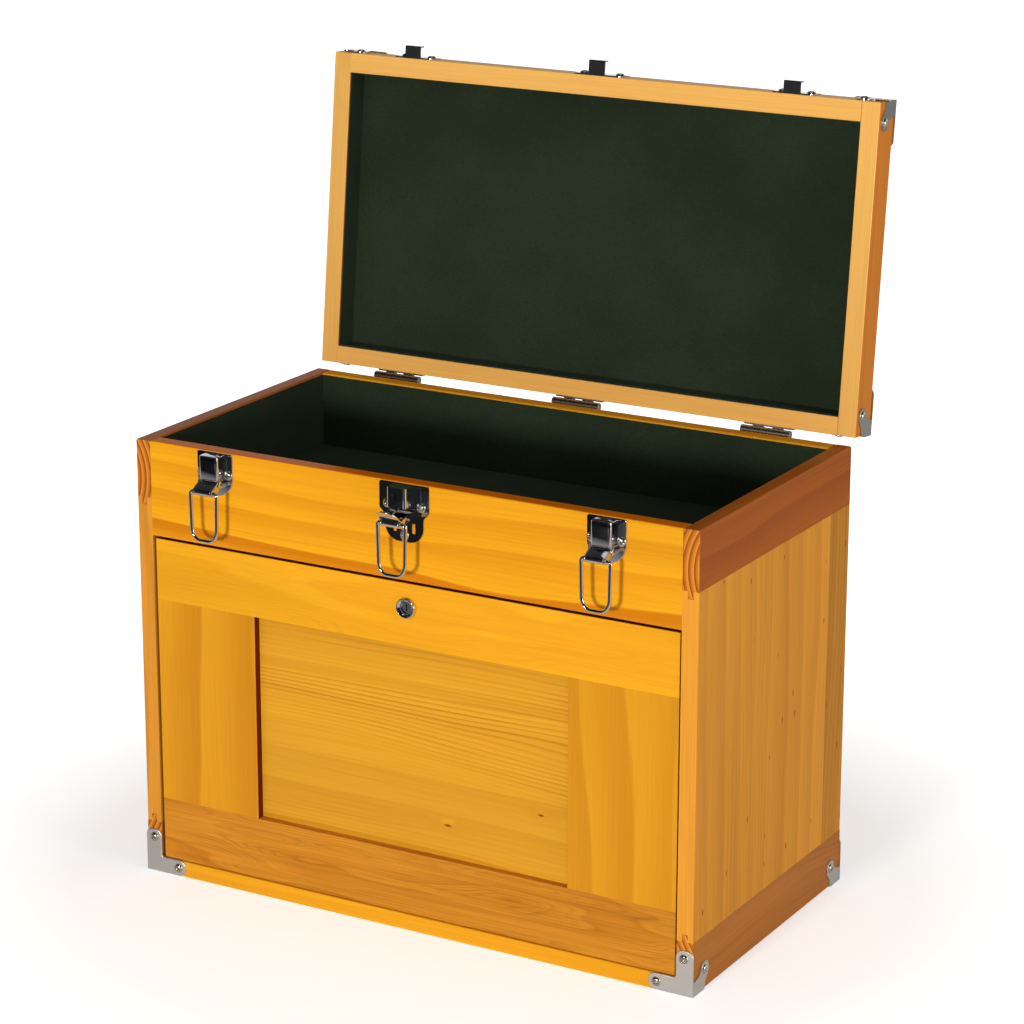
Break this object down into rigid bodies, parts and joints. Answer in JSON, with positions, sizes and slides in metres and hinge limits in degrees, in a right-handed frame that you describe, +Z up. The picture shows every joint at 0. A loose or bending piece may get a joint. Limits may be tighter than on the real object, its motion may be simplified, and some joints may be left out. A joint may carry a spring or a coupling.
{
  "type": "machinist tool chest",
  "caption": "Wooden machinist tool chest: felt-lined hinged lid and top compartment, draw latches, drawers behind a lift-off lockable front panel, metal corners.",
  "frame": {"origin": "on the floor, under the middle of the case", "axes": "+X to the right, +Y to the back, +Z up"},
  "size_m": [0.4454, 0.3261, 0.5689],
  "materials": {
    "side_band_pine": "clear lacquered pine, darker band",
    "side_stave_pine": "clear lacquered pine staves",
    "case_pine": "honey lacquered pine",
    "panel_pine": "honey lacquered pine",
    "panel_foot_wood": "brown lacquered wood",
    "lid_pine": "pale lacquered pine",
    "lid_board_pine": "honey lacquered pine",
    "inner_ply": "plain plywood",
    "green_felt": "dark green felt",
    "satin_nickel": "satin nickel plated sheet",
    "screw_nickel": "nickel plated screws",
    "hinge_nickel": "nickel plated steel",
    "latch_chrome": "bright chrome",
    "lock_chrome": "bright chrome",
    "grip_black": "moulded black grip",
    "drawer_pine": "lacquered pine",
    "knob_nickel": "nickel plated knobs"
  },
  "bodies": {
    "case": {"case_side_top_bands": "side_band_pine", "case_side_panels": "side_stave_pine", "case_side_bottom_bands": "side_band_pine", "front_rail": "case_pine", "back_board": "case_pine", "bottom_board": "case_pine", "compartment_floor": "inner_ply", "compartment_felt": "green_felt", "slot_deck": "inner_ply", "drawer_shelves": "inner_ply", "centre_divider": "inner_ply", "panel_stops": "inner_ply", "case_corner_brackets": "satin_nickel", "case_screws": "screw_nickel", "hinge_case_leaves": "hinge_nickel", "hinge_pins": "screw_nickel", "left_latch_plate": "latch_chrome", "centre_latch_plate": "latch_chrome", "right_latch_plate": "latch_chrome"},
    "lid": {"lid_side_walls": "lid_pine", "lid_front_wall": "lid_pine", "lid_back_wall": "lid_pine", "lid_top_board": "lid_board_pine", "lid_felt": "green_felt", "lid_corner_brackets": "satin_nickel", "lid_screws": "screw_nickel", "hinge_lid_leaves": "hinge_nickel", "lid_strikes": "latch_chrome", "handle_mounts": "latch_chrome"},
    "handle": {"handle_rod": "latch_chrome", "handle_grip": "grip_black"},
    "front_panel": {"panel_top_rail": "panel_pine", "panel_bottom_rail": "panel_foot_wood", "panel_stiles": "panel_pine", "panel_field": "panel_pine", "lock_barrel": "lock_chrome"},
    "panel_lock": {"lock_plug": "lock_chrome"},
    "latch_key": {"latch_key_plug": "lock_chrome"},
    "left_lever": {"left_latch_lever": "latch_chrome"},
    "left_bail": {"left_latch_bail": "latch_chrome"},
    "centre_lever": {"centre_latch_lever": "latch_chrome"},
    "centre_bail": {"centre_latch_bail": "latch_chrome"},
    "right_lever": {"right_latch_lever": "latch_chrome"},
    "right_bail": {"right_latch_bail": "latch_chrome"},
    "small_drawer_1_left": {"small_drawer_1_left": "drawer_pine", "small_drawer_1_left_knob": "knob_nickel"},
    "small_drawer_1_right": {"small_drawer_1_right": "drawer_pine", "small_drawer_1_right_knob": "knob_nickel"},
    "small_drawer_2_left": {"small_drawer_2_left": "drawer_pine", "small_drawer_2_left_knob": "knob_nickel"},
    "small_drawer_2_right": {"small_drawer_2_right": "drawer_pine", "small_drawer_2_right_knob": "knob_nickel"},
    "small_drawer_3_left": {"small_drawer_3_left": "drawer_pine", "small_drawer_3_left_knob": "knob_nickel"},
    "small_drawer_3_right": {"small_drawer_3_right": "drawer_pine", "small_drawer_3_right_knob": "knob_nickel"},
    "wide_drawer_4": {"wide_drawer_4": "drawer_pine", "wide_drawer_4_knobs": "knob_nickel"},
    "wide_drawer_5": {"wide_drawer_5": "drawer_pine", "wide_drawer_5_knobs": "knob_nickel"}
  },
  "joints": [
    {"name": "lid_hinge", "type": "hinge", "parent": "case", "child": "lid", "pos_m": [0, 0.1205, 0.323], "axis": [-1, 0, 0], "range_deg": [-96.2, 0]},
    {"name": "handle_swing", "type": "hinge", "parent": "lid", "child": "handle", "pos_m": [0, 0.16692, 0.43917], "axis": [1, 0, 0], "range_deg": [-6.2, 173.8]},
    {"name": "front_panel_lift_off", "type": "slide", "parent": "case", "child": "front_panel", "axis": [0, -1, 0], "range_m": [0, 0.25]},
    {"name": "panel_lock_turn", "type": "hinge", "parent": "front_panel", "child": "panel_lock", "pos_m": [0, -0.1148, 0.235], "axis": [0, -1, 0], "range_deg": [0, 90]},
    {"name": "latch_key_turn", "type": "hinge", "parent": "case", "child": "latch_key", "pos_m": [0, -0.128, 0.3152], "axis": [0, -1, 0], "range_deg": [0, 90]},
    {"name": "left_lever_turn", "type": "hinge", "parent": "case", "child": "left_lever", "pos_m": [-0.153, -0.123, 0.302], "axis": [-1, 0, 0], "range_deg": [-73, 0]},
    {"name": "left_bail_turn", "type": "hinge", "parent": "left_lever", "child": "left_bail", "pos_m": [-0.153, -0.1312, 0.2973], "axis": [-1, 0, 0], "range_deg": [0, 253.01]},
    {"name": "centre_lever_turn", "type": "hinge", "parent": "case", "child": "centre_lever", "pos_m": [0, -0.123, 0.302], "axis": [-1, 0, 0], "range_deg": [-85, 0]},
    {"name": "centre_bail_turn", "type": "hinge", "parent": "centre_lever", "child": "centre_bail", "pos_m": [0, -0.13347, 0.29898], "axis": [-1, 0, 0], "range_deg": [0, 265.01]},
    {"name": "right_lever_turn", "type": "hinge", "parent": "case", "child": "right_lever", "pos_m": [0.153, -0.123, 0.302], "axis": [-1, 0, 0], "range_deg": [-73, 0]},
    {"name": "right_bail_turn", "type": "hinge", "parent": "right_lever", "child": "right_bail", "pos_m": [0.153, -0.1312, 0.2973], "axis": [-1, 0, 0], "range_deg": [0, 253.01]},
    {"name": "small_drawer_1_left_slide", "type": "slide", "parent": "case", "child": "small_drawer_1_left", "axis": [0, -1, 0], "range_m": [0, 0.161]},
    {"name": "small_drawer_1_right_slide", "type": "slide", "parent": "case", "child": "small_drawer_1_right", "axis": [0, -1, 0], "range_m": [0, 0.161]},
    {"name": "small_drawer_2_left_slide", "type": "slide", "parent": "case", "child": "small_drawer_2_left", "axis": [0, -1, 0], "range_m": [0, 0.161]},
    {"name": "small_drawer_2_right_slide", "type": "slide", "parent": "case", "child": "small_drawer_2_right", "axis": [0, -1, 0], "range_m": [0, 0.161]},
    {"name": "small_drawer_3_left_slide", "type": "slide", "parent": "case", "child": "small_drawer_3_left", "axis": [0, -1, 0], "range_m": [0, 0.161]},
    {"name": "small_drawer_3_right_slide", "type": "slide", "parent": "case", "child": "small_drawer_3_right", "axis": [0, -1, 0], "range_m": [0, 0.161]},
    {"name": "wide_drawer_4_slide", "type": "slide", "parent": "case", "child": "wide_drawer_4", "axis": [0, -1, 0], "range_m": [0, 0.161]},
    {"name": "wide_drawer_5_slide", "type": "slide", "parent": "case", "child": "wide_drawer_5", "axis": [0, -1, 0], "range_m": [0, 0.161]}
  ],
  "couplings": [
    {"joint": "left_bail_turn", "follows": "left_lever_turn", "ratio": -3.4657},
    {"joint": "centre_bail_turn", "follows": "centre_lever_turn", "ratio": -3.1176},
    {"joint": "right_bail_turn", "follows": "right_lever_turn", "ratio": -3.4657},
    {"joint": "small_drawer_1_left_slide", "follows": "front_panel_lift_off", "ratio": 0.64},
    {"joint": "small_drawer_1_right_slide", "follows": "front_panel_lift_off", "ratio": 0.64},
    {"joint": "small_drawer_2_left_slide", "follows": "front_panel_lift_off", "ratio": 0.64},
    {"joint": "small_drawer_2_right_slide", "follows": "front_panel_lift_off", "ratio": 0.64},
    {"joint": "small_drawer_3_left_slide", "follows": "front_panel_lift_off", "ratio": 0.64},
    {"joint": "small_drawer_3_right_slide", "follows": "front_panel_lift_off", "ratio": 0.64},
    {"joint": "wide_drawer_4_slide", "follows": "front_panel_lift_off", "ratio": 0.64},
    {"joint": "wide_drawer_5_slide", "follows": "front_panel_lift_off", "ratio": 0.64}
  ]
}
